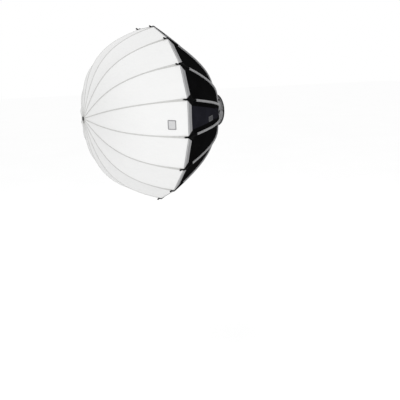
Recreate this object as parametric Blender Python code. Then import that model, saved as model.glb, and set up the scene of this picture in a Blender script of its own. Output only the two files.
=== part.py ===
"""Folding sixteen-rod softbox with a domed front diffuser, for a studio lamp.

Frame: metres, +Z up, light axis along Y. The lamp side faces +Y, the domed front faces -Y.
The origin is the centre of the lamp-mount face. Ribs are numbered clockwise seen from the
lamp side's left, starting half a pitch from +Z towards +X.
"""
import math

import bpy
import bmesh
import numpy as np
from mathutils import Matrix, Vector

for old in list(bpy.data.objects):
    bpy.data.objects.remove(old, do_unlink=True)

# ------------------------------------------------------------------ driving dimensions, metres
N_RIBS = 16                      # gores and rods
PITCH = 2 * math.pi / N_RIBS
RIM_R = 0.600                    # corner radius of the rim: 1.2 m across opposite corners
RIM_Y = -0.539                   # rim plane, measured from the lamp-mount face
POLE_Y = -1.029                  # front end of the dome
SHELL_END = (0.111, -0.049)      # rear hem of the shell: radius, y
SHELL_HANDLES = ((0.3456, -0.119), (0.2556, -0.131))   # cubic handles of the shell ridge
DOME_HANDLES = ((0.480, -0.924), (0.303, -0.973))      # cubic handles of the dome ridge
SHELL_HOLLOW = 0.007             # how far a shell gore is drawn in, mid-way between ribs
DOME_HOLLOW = 0.004              # the same for a dome gore
SHELL_THICK = 0.0015             # coated cloth with its lining
DOME_THICK = 0.0012              # diffusion cloth
CAP_HOLE_R = 0.0075              # eyelet in the dome's pole
NOTCH_WIDE = 0.034               # notch in the dome's edge that lets a rod tip through
NOTCH_LONG = 0.040
SEAM_GAP = 0.0022                # between the shell's and the dome's edges

HINGE_R, HINGE_Y = 0.1000, -0.0520     # rib hinge: radius, y
RIB_ROD_R = 0.0040               # main rod, 8 mm
RIB_INSET_HUB = 0.0075           # rod centre below the ridge, at the hub
RIB_INSET_RIM = 0.0095           # the same at the rim
TIP_AHEAD = 0.026                # rod tip beyond the rim corner
PIVOT_AHEAD = 0.005              # front rod's hinge beyond the rim corner
PIN_R = 0.0020                   # hinge wire and hinge pins, 4 mm
PIN_HOLE_R = 0.00220             # eight-sided hole that clears the pin
FRONT_ROD_R = 0.0025             # front rod, 5 mm
FRONT_TIP_R = 0.0018             # front rod near the pole, 3.6 mm
FRONT_INSET = 0.0055             # front rod's centre below the dome ridge
POLE_ROD_R = 0.0165              # where the front rods end
EYE_X0, EYE_X1 = 0.0050, 0.0088  # front rod's eye, beside the rib tip

OUTER_R = 0.1156                 # rear bumper ring
PLATE_R0, PLATE_R1 = 0.0520, 0.1114    # mount plate
PLATE_Y0, PLATE_Y1 = -0.0140, -0.0033
BODY_R0, BODY_R1 = 0.0760, 0.1080      # slotted hub body
BODY_Y0, BODY_Y1 = -0.0720, -0.0143
SPLIT_Y = -0.0520                      # the body and its cover meet on the hinge wire
SLOT_W, SLOT_R0, SLOT_Y = 0.0106, 0.0875, -0.0430
INSERT_R0, INSERT_R1 = 0.0450, 0.0730  # bayonet insert
INSERT_Y0 = -0.0030
NECK_R, LUG_R = 0.0485, 0.0515
LUG_Y0, LUG_Y1 = 0.0048, 0.0085
SCREW_R = 0.0017
LEVER_A0, LEVER_A1 = math.radians(93.5), math.radians(122.0)
LEVER_Y0, LEVER_Y1 = -0.0460, -0.0155
LEVER_PIN_A = math.radians(91.3)
LEVER_PIN_RAD = 0.1165
BUTTON_A = math.radians(45.0)
WEB_HALF = 0.0080                # rod sleeve along a shell ridge, 16 mm wide
WEB_CROWN = 0.0060               # how far its middle stands above its edges
BAND_W = 0.038                   # rim band
WEB_START = 0.095                # sleeve's front end, from the rim corner


# ------------------------------------------------------------------ materials and small helpers
def material(name, rgb, rough, metal=0.0):
    m = bpy.data.materials.new(name)
    m.use_nodes = True
    p = m.node_tree.nodes["Principled BSDF"]
    p.inputs["Base Color"].default_value = (*rgb, 1)
    p.inputs["Roughness"].default_value = rough
    p.inputs["Metallic"].default_value = metal
    return m


def add(name, verts, faces, mat):
    """One object from vertices and faces, with its faces turned outwards."""
    mesh = bpy.data.meshes.new(name)
    bm = bmesh.new()
    made = [bm.verts.new(v) for v in verts]
    for f in faces:
        bm.faces.new([made[i] for i in f])
    bmesh.ops.recalc_face_normals(bm, faces=bm.faces)
    bm.to_mesh(mesh)
    bm.free()
    obj = bpy.data.objects.new(name, mesh)
    bpy.context.scene.collection.objects.link(obj)
    if mat is not None:
        mesh.materials.append(mat)
    return obj


def merge(parts):
    """Several (verts, faces) solids as one list of vertices and faces."""
    verts, faces = [], []
    for v, f in parts:
        faces += [[i + len(verts) for i in face] for face in f]
        verts += list(v)
    return verts, faces


def boolean(obj, cutter, operation):
    """Apply an exact Boolean and drop the cutter."""
    m = obj.modifiers.new("b", "BOOLEAN")
    m.operation, m.solver, m.object = operation, "EXACT", cutter
    bpy.context.view_layer.update()
    done = bpy.data.meshes.new_from_object(obj.evaluated_get(bpy.context.evaluated_depsgraph_get()))
    obj.modifiers.clear()
    obj.data = done
    bpy.data.objects.remove(cutter, do_unlink=True)
    return obj


def radial(a):
    return np.array([math.sin(a), 0.0, math.cos(a)])


def tangent(a):
    return np.array([math.cos(a), 0.0, -math.sin(a)])


def rib_angle(k):
    """Azimuth of rib k, from +Z towards +X."""
    return (k + 0.5) * PITCH


def turned(verts, a):
    """Vertices drawn in the plane of +Z, turned to azimuth a: x is tangential, z is radial."""
    t, r = tangent(a), radial(a)
    return [tuple(v[0] * t + np.array([0, v[1], 0]) + v[2] * r) for v in verts]


def turned_solids(solid, angles):
    return merge([(turned(solid[0], a), solid[1]) for a in angles])


def ring(profile, segments=32, start=0.0):
    """A closed ring: profile is a loop of (radius, y) points, turned about Y."""
    n, verts, faces = len(profile), [], []
    for i in range(segments):
        a = start + 2 * math.pi * i / segments
        verts += [tuple(radial(a) * r + np.array([0, y, 0])) for r, y in profile]
    for i in range(segments):
        j = (i + 1) % segments
        for p in range(n):
            q = (p + 1) % n
            faces.append([i * n + p, i * n + q, j * n + q, j * n + p])
    return verts, faces


def sector(r0, r1, y0, y1, a0, a1, n=6):
    """A block bent round the light axis, from azimuth a0 to a1."""
    verts, faces = [], []
    for i in range(n + 1):
        a = a0 + (a1 - a0) * i / n
        for r, y in ((r0, y0), (r1, y0), (r1, y1), (r0, y1)):
            verts.append(tuple(radial(a) * r + np.array([0, y, 0])))
    for i in range(n):
        for p in range(4):
            q = (p + 1) % 4
            faces.append([4 * i + p, 4 * i + q, 4 * i + 4 + q, 4 * i + 4 + p])
    faces += [[0, 1, 2, 3], [4 * n + 3, 4 * n + 2, 4 * n + 1, 4 * n]]
    return verts, faces


def turned_profile(steps, axis_point, direction, sides=12, start=0.0):
    """A solid turned about a line: steps are (distance along the line, radius)."""
    d = np.array(direction, float)
    d /= np.linalg.norm(d)
    up = np.array([0, 1.0, 0]) if abs(d[1]) < 0.9 else np.array([0, 0, 1.0])
    u = np.cross(d, up)
    u /= np.linalg.norm(u)
    w = np.cross(d, u)
    p0, verts, faces = np.array(axis_point, float), [], []
    for along, r in steps:
        for i in range(sides):
            a = start + 2 * math.pi * i / sides
            verts.append(tuple(p0 + d * along + r * (math.cos(a) * u + math.sin(a) * w)))
    for s in range(len(steps) - 1):
        for i in range(sides):
            j = (i + 1) % sides
            faces.append([s * sides + i, s * sides + j, (s + 1) * sides + j, (s + 1) * sides + i])
    last = (len(steps) - 1) * sides
    faces += [list(range(sides))[::-1], [last + i for i in range(sides)]]
    return verts, faces


def box(cx, cy, cz, hx, hy, hz):
    v = [(cx + sx * hx, cy + sy * hy, cz + sz * hz)
         for sx in (-1, 1) for sy in (-1, 1) for sz in (-1, 1)]
    f = [[0, 1, 3, 2], [4, 6, 7, 5], [0, 4, 5, 1], [2, 3, 7, 6], [0, 2, 6, 4], [1, 5, 7, 3]]
    return v, f


# ------------------------------------------------------------------ ridge profiles
class Profile:
    """A ridge line in (radius, y), in straight runs, measured by its length from the rim corner."""

    def __init__(self, runs, p0, p1, p2, p3):
        t = np.linspace(0, 1, 801)[:, None]
        p0, p1, p2, p3 = (np.array(p, float) for p in (p0, p1, p2, p3))
        c = (1 - t) ** 3 * p0 + 3 * (1 - t) ** 2 * t * p1 + 3 * (1 - t) * t * t * p2 + t ** 3 * p3
        s = np.concatenate([[0], np.cumsum(np.linalg.norm(np.diff(c, axis=0), axis=1))])
        self.length = float(s[-1])
        self.knots = np.linspace(0, self.length, runs + 1)
        self.points = np.stack([np.interp(self.knots, s, c[:, i]) for i in (0, 1)], 1)
        d = np.diff(self.points, axis=0)
        d /= np.linalg.norm(d, axis=1)[:, None]
        self.first = d[0]
        n = np.stack([-d[:, 1], d[:, 0]], 1) * np.where(d[:, 1] < 0, 1, -1)[:, None]
        n = np.vstack([n[:1], n[:-1] + n[1:], n[-1:]])
        self.normals = n / np.linalg.norm(n, axis=1)[:, None]
        self.bow = np.sin(math.pi * self.knots / self.length)

    def at(self, s):
        """Point and outward normal at length s; s below 0 runs straight on past the corner."""
        p = np.array([np.interp(s, self.knots, self.points[:, i]) for i in (0, 1)])
        n = np.array([np.interp(s, self.knots, self.normals[:, i]) for i in (0, 1)])
        return p + self.first * min(s, 0), n / np.linalg.norm(n)

    def between(self, s0, s1):
        """s0, s1 and every corner of the runs between them."""
        return [s0] + [k for k in self.knots if s0 + 0.004 < k < s1 - 0.004] + [s1]

    def where_radius(self, r):
        """The length at which the ridge has shrunk to radius r."""
        return float(np.interp(-r, -self.points[:, 0], self.knots))


shell = Profile(6, (RIM_R, RIM_Y), *SHELL_HANDLES, SHELL_END)
dome = Profile(7, (RIM_R, RIM_Y), *DOME_HANDLES, (0.0, POLE_Y))
DOME_END = dome.where_radius(CAP_HOLE_R)


def outward(profile, s, k, c):
    """The cloth's outward normal on gore k, a share c of the way from rib k to the next."""
    _, n = profile.at(s)
    where = 0.0 if c <= 0 else 1.0 if c >= 1 else 0.5
    return radial(rib_angle(k) + where * PITCH) * n[0] + np.array([0, n[1], 0])


def cloth(profile, k, c, s, off=0.0):
    """A point of gore k's outer surface, moved off along its normal."""
    (r, y), _ = profile.at(s)
    a, b = radial(rib_angle(k)) * r, radial(rib_angle(k + 1)) * r
    p = a * (1 - c) + b * c + np.array([0, y, 0])
    depth = SHELL_HOLLOW if profile is shell else DOME_HOLLOW
    hollow = depth * (1 - abs(2 * c - 1)) * float(np.interp(s, profile.knots, profile.bow))
    return p + outward(profile, s, k, c) * (off - hollow)


def skin(grid_out, grid_in):
    """A closed thin solid between two equal grids of points (rows of columns)."""
    rows, cols = len(grid_out), len(grid_out[0])
    verts = [tuple(p) for g in (grid_out, grid_in) for row in g for p in row]
    n, faces = rows * cols, []
    for i in range(rows - 1):
        for j in range(cols - 1):
            q = [i * cols + j, i * cols + j + 1, (i + 1) * cols + j + 1, (i + 1) * cols + j]
            faces.append(q)
            faces.append([v + n for v in q[::-1]])
    edge = [j for j in range(cols)] + [i * cols + cols - 1 for i in range(1, rows)]
    edge += [(rows - 1) * cols + j for j in range(cols - 2, -1, -1)]
    edge += [i * cols for i in range(rows - 2, 0, -1)]
    for a, b in zip(edge, edge[1:] + edge[:1]):
        faces.append([b, a, a + n, b + n])
    return verts, faces


def wrapped_skin(rows_out, rows_in, keep=lambda row, col: True):
    """Thin cloth round the light axis, made only of the grid cells that keep() accepts."""
    rows, cols = len(rows_out), len(rows_out[0])
    n, verts = rows * cols, [tuple(p) for g in (rows_out, rows_in) for row in g for p in row]
    cells = {(i, j) for i in range(rows - 1) for j in range(cols) if keep(i, j)}
    faces = []
    for i, j in sorted(cells):
        k = (j + 1) % cols
        a, b, c, d = i * cols + j, i * cols + k, (i + 1) * cols + k, (i + 1) * cols + j
        faces += [[a, b, c, d], [d + n, c + n, b + n, a + n]]
        beside = (((i - 1, j), a, b), ((i, k), b, c), ((i + 1, j), c, d), ((i, (j - 1) % cols), d, a))
        for cell, p, q in beside:
            if cell not in cells:
                faces.append([q, p, p + n, q + n])
    used = sorted({v for f in faces for v in f})
    new = {v: i for i, v in enumerate(used)}
    return [verts[v] for v in used], [[new[v] for v in f] for f in faces]


def tape_rows(profile, stations, low, high, crown=0.0):
    """Grid rows for tape on the ridges: stations are (s, half width). Four columns a gore.
    Its middle stands a crown's height above its edges, except close to the hub."""
    rows_out, rows_in = [], []
    for s, half in stations:
        (r, _), _ = profile.at(s)
        proud = crown if s < profile.length - 0.030 else 0.0
        c = min(half / (2 * r * math.sin(PITCH / 2)), 0.40)
        shares = [(k, x) for k in range(N_RIBS) for x in (0.0, c, 0.5, 1 - c)]
        rows_out.append([cloth(profile, k, x, s, high + (0.0 if x else proud)) for k, x in shares])
        rows_in.append([cloth(profile, k, x, s, low) for k, x in shares])
    return rows_out, rows_in


def on_ridge(col):
    return col % 4 in (0, 3)


# ------------------------------------------------------------------ cloth parts
def make_shell(mat):
    """The black outer shell: sixteen gores in one cloth, open at the rim and at the hub."""
    rows_out, rows_in = [], []
    for s in shell.knots:
        shares = [(k, c) for k in range(N_RIBS) for c in (0.0, 0.5)]
        rows_out.append([cloth(shell, k, c, s) for k, c in shares])
        rows_in.append([cloth(shell, k, c, s, -SHELL_THICK) for k, c in shares])
    return add("shell_fabric", *wrapped_skin(rows_out, rows_in), mat)


def make_dome(mat):
    """The white dome: its edge is notched at each corner, where a rod tip comes through."""
    rows_out, rows_in = [], []
    notch = NOTCH_WIDE / (2 * RIM_R * math.sin(PITCH / 2))
    for i, s in enumerate(dome.between(SEAM_GAP, DOME_END)):
        shares = [(k, c) for k in range(N_RIBS) for c in (0.0, notch, 0.5, 1 - notch)]
        at = [NOTCH_LONG if i == 0 and c == 0 else s for _, c in shares]
        rows_out.append([cloth(dome, k, c, u) for (k, c), u in zip(shares, at)])
        rows_in.append([cloth(dome, k, c, u, -DOME_THICK) for (k, c), u in zip(shares, at)])
    return add("dome_fabric", *wrapped_skin(rows_out, rows_in), mat)


def make_webbing(mat):
    """Sixteen tapes along the shell's ridges, all sewn to the hem tape round the hub."""
    end = shell.length
    rows_at = shell.between(WEB_START, end - 0.016) + [end - 0.003]
    rows = tape_rows(shell, [(s, WEB_HALF) for s in rows_at], 0.0011, 0.0023, WEB_CROWN)
    hem = len(rows_at) - 2
    solid = wrapped_skin(*rows, keep=lambda row, col: row == hem or on_ridge(col))
    return add("ridge_webbing", *solid, mat)


def make_rim_band(mat):
    """The band round the rim, with a doubled pocket at each corner over the rod's end."""
    stations = [(-0.010, 0.011), (0.0015, 0.016), (BAND_W, 0.020), (0.062, 0.022)]
    rows = tape_rows(shell, stations, 0.0010, 0.0024)
    return add("rim_band", *wrapped_skin(*rows, keep=lambda row, col: row == 1 or on_ridge(col)), mat)


def make_seam_tapes(mat):
    """Tapes along the dome's ridges, wide at the corners, joined by a ring round the pole."""
    rows_at = dome.between(0.045, DOME_END - 0.016) + [DOME_END - 0.004]
    half = np.interp(rows_at, (0.045, 0.11, 0.20, 0.21), (0.017, 0.012, 0.0045, 0.0038))
    rows = tape_rows(dome, list(zip(rows_at, half)), 0.0009, 0.0019)
    ring_row = len(rows_at) - 2
    solid = wrapped_skin(*rows, keep=lambda row, col: row == ring_row or on_ridge(col))
    return add("dome_tapes", *solid, mat)


def flat_patch(profile, k, c0, c1, s0, s1, low=0.0010, high=0.0020):
    """A patch sewn on one side of gore k, between its middle and a rib."""
    rows_at = profile.between(s0, s1)
    out = [[cloth(profile, k, c, s, high) for c in (c0, c1)] for s in rows_at]
    inn = [[cloth(profile, k, c, s, low) for c in (c0, c1)] for s in rows_at]
    return skin(out, inn)


# ------------------------------------------------------------------ rods
def sweep(stations, sides=6):
    """A closed tube: stations are (centre, side vector, up vector) with the half sizes in them."""
    verts, faces = [], []
    for centre, u, w in stations:
        for i in range(sides):
            a = 2 * math.pi * (i + 0.5) / sides
            verts.append(tuple(np.array(centre) + math.cos(a) * np.array(u)
                               + math.sin(a) * np.array(w)))
    for s in range(len(stations) - 1):
        for i in range(sides):
            j = (i + 1) % sides
            faces.append([s * sides + i, s * sides + j, (s + 1) * sides + j, (s + 1) * sides + i])
    last = (len(stations) - 1) * sides
    faces += [list(range(sides))[::-1], [last + i for i in range(sides)]]
    return verts, faces


def in_plane(p):
    """(radius, y) to a point in the plane of +Z."""
    return np.array([0.0, p[1], p[0]])


def rib_centre(s):
    """Centre line of a rib below the shell ridge, s from the rim corner."""
    p, n = shell.at(s)
    share = min(max(s / shell.length, 0), 1)
    return p - n * (RIB_INSET_RIM + (RIB_INSET_HUB - RIB_INSET_RIM) * share), n


def pivot_point():
    return rib_centre(-PIVOT_AHEAD)[0]


def rib_solid():
    """One rib in the plane of +Z: a foot with a hinge hole, the rod, and a tip with a hole."""
    hinge = np.array([HINGE_R, HINGE_Y])
    start, n = rib_centre(shell.length)
    along = start - hinge
    along /= np.linalg.norm(along)
    up = np.array([-along[1], along[0]])
    up = up if up @ n > 0 else -up
    rows = []
    for d, half_w, half_h in ((-0.0066, 0.0046, 0.0040), (-0.0040, 0.0048, 0.0066),
                              (0.0035, 0.0048, 0.0062)):
        rows.append((in_plane(hinge + along * d), (half_w * 1.15, 0, 0), in_plane(up) * half_h))
    for s in shell.between(0.030, shell.length - 0.012)[::-1]:
        p, m = rib_centre(s)
        rows.append((in_plane(p), (RIB_ROD_R, 0, 0), in_plane(m) * RIB_ROD_R))
    for s, h in ((0.020, 0.0046), (-0.014, 0.0046), (-TIP_AHEAD + 0.002, 0.0028),
                 (-TIP_AHEAD, 0.0018)):
        p, m = rib_centre(s)
        rows.append((in_plane(p), (h, 0, 0), in_plane(m) * h))
    return sweep(rows)


def front_rod_centre(s):
    """Centre line of a front rod below the dome ridge."""
    p, n = dome.at(s)
    dip = FRONT_INSET + 0.0040 * max(0.0, 1 - s / 0.10)
    return p - n * dip, n


def side_shift(s):
    """A front rod leaves its eye beside the rib tip and runs back under the ridge."""
    x = (EYE_X0 + EYE_X1) / 2
    if s <= 0.045:
        return x
    u = min((s - 0.045) / 0.075, 1.0)
    return x * (1 - u * u * (3 - 2 * u))


def front_rod_solid():
    end = dome.where_radius(POLE_ROD_R)
    rows = []
    p0 = pivot_point()
    x0 = side_shift(0)
    first, n0 = front_rod_centre(0.024)
    aim = (first - p0) / np.linalg.norm(first - p0)
    side = np.array([-aim[1], aim[0]])
    side *= math.copysign(1, float(side @ n0))
    for d, r in ((0.0022, 0.0017), (0.0100, 0.0019)):
        rows.append((in_plane(p0 + aim * d) + np.array([x0, 0, 0]), (r, 0, 0), in_plane(side) * r))
    for s in [0.024, 0.045, *dome.between(0.070, end - 0.004), end]:
        p, n = front_rod_centre(s)
        u = min(max((s - 0.60) / 0.15, 0), 1)
        r = FRONT_ROD_R + (FRONT_TIP_R - FRONT_ROD_R) * u
        if s == end:
            r *= 0.7
        rows.append((in_plane(p) + np.array([side_shift(s), 0, 0]), (r, 0, 0), in_plane(n) * r))
    return sweep(rows)


def make_rods(mat_rib, mat_front):
    """All ribs and front rods: one mesh each, shared by sixteen objects on their hinges."""
    rib = add("rib_pattern", *rib_solid(), mat_rib)
    p0 = pivot_point()
    for y, r in ((HINGE_Y, HINGE_R), (p0[1], p0[0])):
        hole = turned_profile([(-0.02, PIN_HOLE_R), (0.02, PIN_HOLE_R)], (0, y, r), (1, 0, 0), 8)
        boolean(rib, add("hole", *hole, mat_rib), "DIFFERENCE")
    front = add("front_pattern", *front_rod_solid(), mat_front)
    aim = front_rod_centre(0.024)[0] - p0
    flat = math.atan2(-aim[1], aim[0]) + math.pi / 8    # the rod leaves the eye through a flat
    eye = turned_profile([(-0.0062, 0.0014), (-0.0056, PIN_R), (EYE_X0, PIN_R), (EYE_X0, 0.0052),
                          (EYE_X1, 0.0052)], (0, p0[1], p0[0]), (1, 0, 0), 8, flat)
    boolean(front, add("eye", *eye, mat_front), "UNION")
    hinge, pivot = Vector((0, HINGE_Y, HINGE_R)), Vector((0, p0[1], p0[0]))
    rib.data.transform(Matrix.Translation(-hinge))
    front.data.transform(Matrix.Translation(-pivot))
    for k in range(N_RIBS):
        obj = bpy.data.objects.new(f"rib_{k + 1:02d}", rib.data)
        bpy.context.scene.collection.objects.link(obj)
        obj.location = turned([hinge], rib_angle(k))[0]
        obj.rotation_euler = (0, rib_angle(k), 0)
        rod = bpy.data.objects.new(f"dome_rod_{k + 1:02d}", front.data)
        bpy.context.scene.collection.objects.link(rod)
        rod.parent = obj
        rod.location = pivot - hinge
    for pattern in (rib, front):
        bpy.data.objects.remove(pattern, do_unlink=True)


# ------------------------------------------------------------------ hub
def wire_loop(radius, thick, sides=8):
    """A sixteen-cornered wire ring: each straight run is the hinge of one rib."""
    verts, faces = [], []
    for k in range(N_RIBS):
        a = rib_angle(k) + PITCH / 2
        for i in range(sides):
            b = 2 * math.pi * (i + 0.5) / sides
            r = (radius + thick * math.cos(b)) / math.cos(PITCH / 2)
            verts.append(tuple(radial(a) * r + np.array([0, HINGE_Y + thick * math.sin(b), 0])))
    for k in range(N_RIBS):
        j = (k + 1) % N_RIBS
        for p in range(sides):
            q = (p + 1) % sides
            faces.append([k * sides + p, k * sides + q, j * sides + q, j * sides + p])
    return verts, faces


def cylinder_along_y(r, y0, y1, azimuth, radius, sides=8):
    return turned_profile([(y0, radius), (y1, radius)], tuple(radial(azimuth) * r), (0, 1, 0), sides)


def screw_shape(r, azimuth, y_seat, y_end, head=0.0032, high=0.0020):
    """A pan-head screw from the lamp side: its head rests on y_seat and its end is at y_end."""
    steps = [(y_end, SCREW_R), (y_seat, SCREW_R), (y_seat, head),
             (y_seat + high * 0.7, head * 0.95), (y_seat + high, head * 0.6)]
    return turned_profile(steps, tuple(radial(azimuth) * r), (0, 1, 0), 8)


def make_hub(m):
    """Bayonet insert, mount plate, the two halves of the slotted body, wire, rings and screws."""
    insert = add("bayonet_insert", *ring([
        (INSERT_R0, INSERT_Y0), (INSERT_R0, LUG_Y1), (NECK_R, LUG_Y1), (NECK_R, 0.0),
        (INSERT_R1 - 0.0008, 0.0), (INSERT_R1, -0.0008), (INSERT_R1, INSERT_Y0)]), m["steel"])
    for a in (0, 120, 240):
        lug = sector(NECK_R - 0.002, LUG_R, LUG_Y0, LUG_Y1 - 0.0003,
                     math.radians(a - 18), math.radians(a + 18))
        boolean(insert, add("lug", *lug, m["steel"]), "UNION")
    plate = add("mount_plate", *ring([
        (PLATE_R0, PLATE_Y0), (PLATE_R0, PLATE_Y1), (PLATE_R1 - 0.001, PLATE_Y1),
        (PLATE_R1, PLATE_Y1 - 0.001), (PLATE_R1, PLATE_Y0)]), m["light_grey"])
    body_profile = [(BODY_R0, SPLIT_Y + 0.0002), (BODY_R0, BODY_Y1), (BODY_R1, BODY_Y1),
                    (BODY_R1, -0.0185), (BODY_R1 - 0.0016, -0.0195), (BODY_R1 - 0.0016, -0.0285),
                    (BODY_R1, -0.0295), (BODY_R1, SPLIT_Y + 0.0002)]
    body = add("hub_body", *ring(body_profile), m["collar_grey"])
    cover = add("hub_cover", *ring([
        (BODY_R0 + 0.001, BODY_Y0), (BODY_R0, BODY_Y0 + 0.001), (BODY_R0, SPLIT_Y - 0.0002),
        (BODY_R1, SPLIT_Y - 0.0002), (BODY_R1, BODY_Y0 + 0.002), (BODY_R1 - 0.002, BODY_Y0)]),
        m["collar_grey"])
    add("hinge_wire", *wire_loop(HINGE_R, PIN_R), m["steel"])

    for i, a in enumerate((30, 150, 270)):
        a = math.radians(a)
        shaft = cylinder_along_y(0.0615, -0.0115, 0.01, a, SCREW_R + 0.0004)
        for part in (insert, plate):
            boolean(part, add("shaft", *shaft, m["light_grey"]), "DIFFERENCE")
        add(f"insert_screw_{i + 1}", *screw_shape(0.0615, a, 0.0003, -0.0110), m["screw_black"])
    for i in range(3):
        a = rib_angle(5 * i + 1) + PITCH / 2
        shaft = cylinder_along_y(0.0915, -0.0300, 0.01, a, SCREW_R + 0.0004)
        for part in (body, plate):
            boolean(part, add("shaft", *shaft, m["light_grey"]), "DIFFERENCE")
        add(f"body_screw_{i + 1}", *screw_shape(0.0915, a, PLATE_Y1 + 0.0003, -0.0290),
            m["screw_black"])
    slot = box(0, (BODY_Y0 - 0.01 + SLOT_Y) / 2, (SLOT_R0 + 0.13) / 2,
               SLOT_W / 2, (SLOT_Y - BODY_Y0 + 0.01) / 2, (0.13 - SLOT_R0) / 2)
    slots = turned_solids(slot, [rib_angle(k) for k in range(N_RIBS)])
    channel = wire_loop(HINGE_R, PIN_R + 0.0006, 6)
    for part in (body, cover):
        boolean(part, add("slots", *slots, m["collar_grey"]), "DIFFERENCE")
        boolean(part, add("channel", *channel, m["collar_grey"]), "DIFFERENCE")
    for part, mat in ((insert, "steel"), (plate, "light_grey"), (body, "collar_grey"),
                      (cover, "collar_grey")):
        part.data.materials.clear()
        part.data.materials.append(m[mat])

    add("bumper_ring", *ring([
        (PLATE_R1 + 0.0004, -0.0105), (PLATE_R1 + 0.0004, -0.0022), (OUTER_R - 0.0020, -0.0010),
        (OUTER_R, -0.0028), (OUTER_R, -0.0090), (OUTER_R - 0.0016, -0.0108)]), m["rubber_black"])
    add("throat_ring", *ring([
        (0.0712, BODY_Y0 - 0.009), (0.0712, -0.0145), (0.0756, -0.0145), (0.0756, BODY_Y0 - 0.0055),
        (0.0790, BODY_Y0 - 0.006), (0.0790, BODY_Y0 - 0.009)]), m["silver"])


def on_axis(obj, point):
    """Move the object's origin to a point, leaving its shape where it is."""
    obj.data.transform(Matrix.Translation(-Vector(point)))
    obj.location = point
    return obj


def make_lever(m):
    """A ribbed release lever lying round the collar, and the ears that carry it."""
    y0, y1 = LEVER_Y0, LEVER_Y1
    lever = add("release_lever", *sector(0.1094, 0.1190, y0, y1, LEVER_A0, LEVER_A1, 6), m["lever"])
    for i in range(9):
        a = LEVER_A0 + math.radians(4.2 + 2.6 * i)
        tooth = sector(0.1170, 0.1206, y0 + 0.0012, y1 - 0.0012, a, a + math.radians(1.3), 1)
        boolean(lever, add("tooth", *tooth, m["lever"]), "UNION")
    hinge = np.array(radial(LEVER_PIN_A)) * LEVER_PIN_RAD
    knuckle = turned_profile([(y0 + 0.0050, 0.0046), (y1 - 0.0050, 0.0046)],
                             tuple(hinge), (0, 1, 0), 12)
    boolean(lever, add("knuckle", *knuckle, m["lever"]), "UNION")
    hole = turned_profile([(-0.06, 0.00163), (0.0, 0.00163)], tuple(hinge), (0, 1, 0), 12)
    boolean(lever, add("hole", *hole, m["lever"]), "DIFFERENCE")
    on_axis(lever, tuple(hinge))

    a0, a1 = LEVER_PIN_A - math.radians(2.6), LEVER_PIN_A + math.radians(0.9)
    bracket = add("lever_bracket", *sector(0.1084, 0.1206, y0, y1, a0, a1, 3), m["rubber_black"])
    room = sector(0.1108, 0.1300, y0 + 0.0044, y1 - 0.0044, a0 - 0.1, a1 + 0.1, 3)
    boolean(bracket, add("room", *room, m["rubber_black"]), "DIFFERENCE")
    hole = turned_profile([(-0.06, 0.00175), (0.0, 0.00175)], tuple(hinge), (0, 1, 0), 8)
    boolean(bracket, add("hole", *hole, m["rubber_black"]), "DIFFERENCE")
    pin = turned_profile([(y0 + 0.0004, 0.0015), (y1 - 0.0004, 0.0015)], tuple(hinge), (0, 1, 0), 12)
    add("lever_pin", *pin, m["steel"])


def make_button(m):
    """A round press button on the collar, with its guide bezel."""
    d = radial(BUTTON_A)
    at = d * 0.1084 + np.array([0, -0.0240, 0])
    bezel = add("button_bezel", *turned_profile(
        [(0.0, 0.0078), (0.0040, 0.0078), (0.0051, 0.0070)], tuple(at), tuple(d), 16),
        m["rubber_black"])
    hole = turned_profile([(-0.01, 0.0057), (0.02, 0.0057)], tuple(at), tuple(d), 16)
    boolean(bezel, add("hole", *hole, m["rubber_black"]), "DIFFERENCE")
    button = add("lock_button", *turned_profile(
        [(0.0032, 0.0053), (0.0090, 0.0053), (0.0100, 0.0044)], tuple(at), tuple(d), 16), m["button"])
    on_axis(button, tuple(at))


def make_cap(m):
    """The front cap closes the pole; a short cloth tab hangs from it."""
    cap = add("front_cap", *turned_profile(
        [(-0.0100, 0.0050), (-0.0090, 0.0060), (0.0, 0.0060), (0.0, 0.0136), (0.0016, 0.0150),
         (0.0034, 0.0138), (0.0046, 0.0098)], (0, POLE_Y - 0.0006, 0), (0, -1, 0), 24),
        m["rubber_black"])
    end = dome.where_radius(POLE_ROD_R)
    r, y = front_rod_centre(end)[0]
    on_axis(cap, tuple(radial(rib_angle(0)) * r + np.array([0, y, 0])))
    add("cap_tab", *box(0, POLE_Y - 0.0030, -0.0225, 0.0060, 0.0005, 0.0070), m["tab_white"])


# ------------------------------------------------------------------ assembly
mats = {
    "shell_black": material("shell_black", (0.010, 0.010, 0.011), 0.75),
    "dome_white": material("dome_white", (0.88, 0.88, 0.88), 0.80),
    "webbing_grey": material("webbing_grey", (0.30, 0.30, 0.31), 0.80),
    "band_grey": material("band_grey", (0.34, 0.34, 0.35), 0.75),
    "piping_grey": material("piping_grey", (0.45, 0.45, 0.45), 0.80),
    "label_grey": material("label_grey", (0.09, 0.09, 0.10), 0.60),
    "rod_black": material("rod_black", (0.015, 0.015, 0.016), 0.40),
    "front_rod_grey": material("front_rod_grey", (0.30, 0.30, 0.31), 0.40),
    "steel": material("steel", (0.55, 0.55, 0.56), 0.35, 1.0),
    "silver": material("silver", (0.70, 0.70, 0.71), 0.40, 1.0),
    "light_grey": material("light_grey", (0.42, 0.42, 0.43), 0.45, 0.4),
    "collar_grey": material("collar_grey", (0.22, 0.22, 0.23), 0.45, 0.3),
    "screw_black": material("screw_black", (0.03, 0.03, 0.03), 0.40, 0.6),
    "rubber_black": material("rubber_black", (0.012, 0.012, 0.012), 0.55),
    "lever": material("lever", (0.20, 0.20, 0.21), 0.50),
    "button": material("button", (0.05, 0.05, 0.055), 0.45),
    "tab_white": material("tab_white", (0.80, 0.80, 0.80), 0.80),
}
make_shell(mats["shell_black"])
make_dome(mats["dome_white"])
make_webbing(mats["webbing_grey"])
make_rim_band(mats["band_grey"])
make_seam_tapes(mats["piping_grey"])
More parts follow.
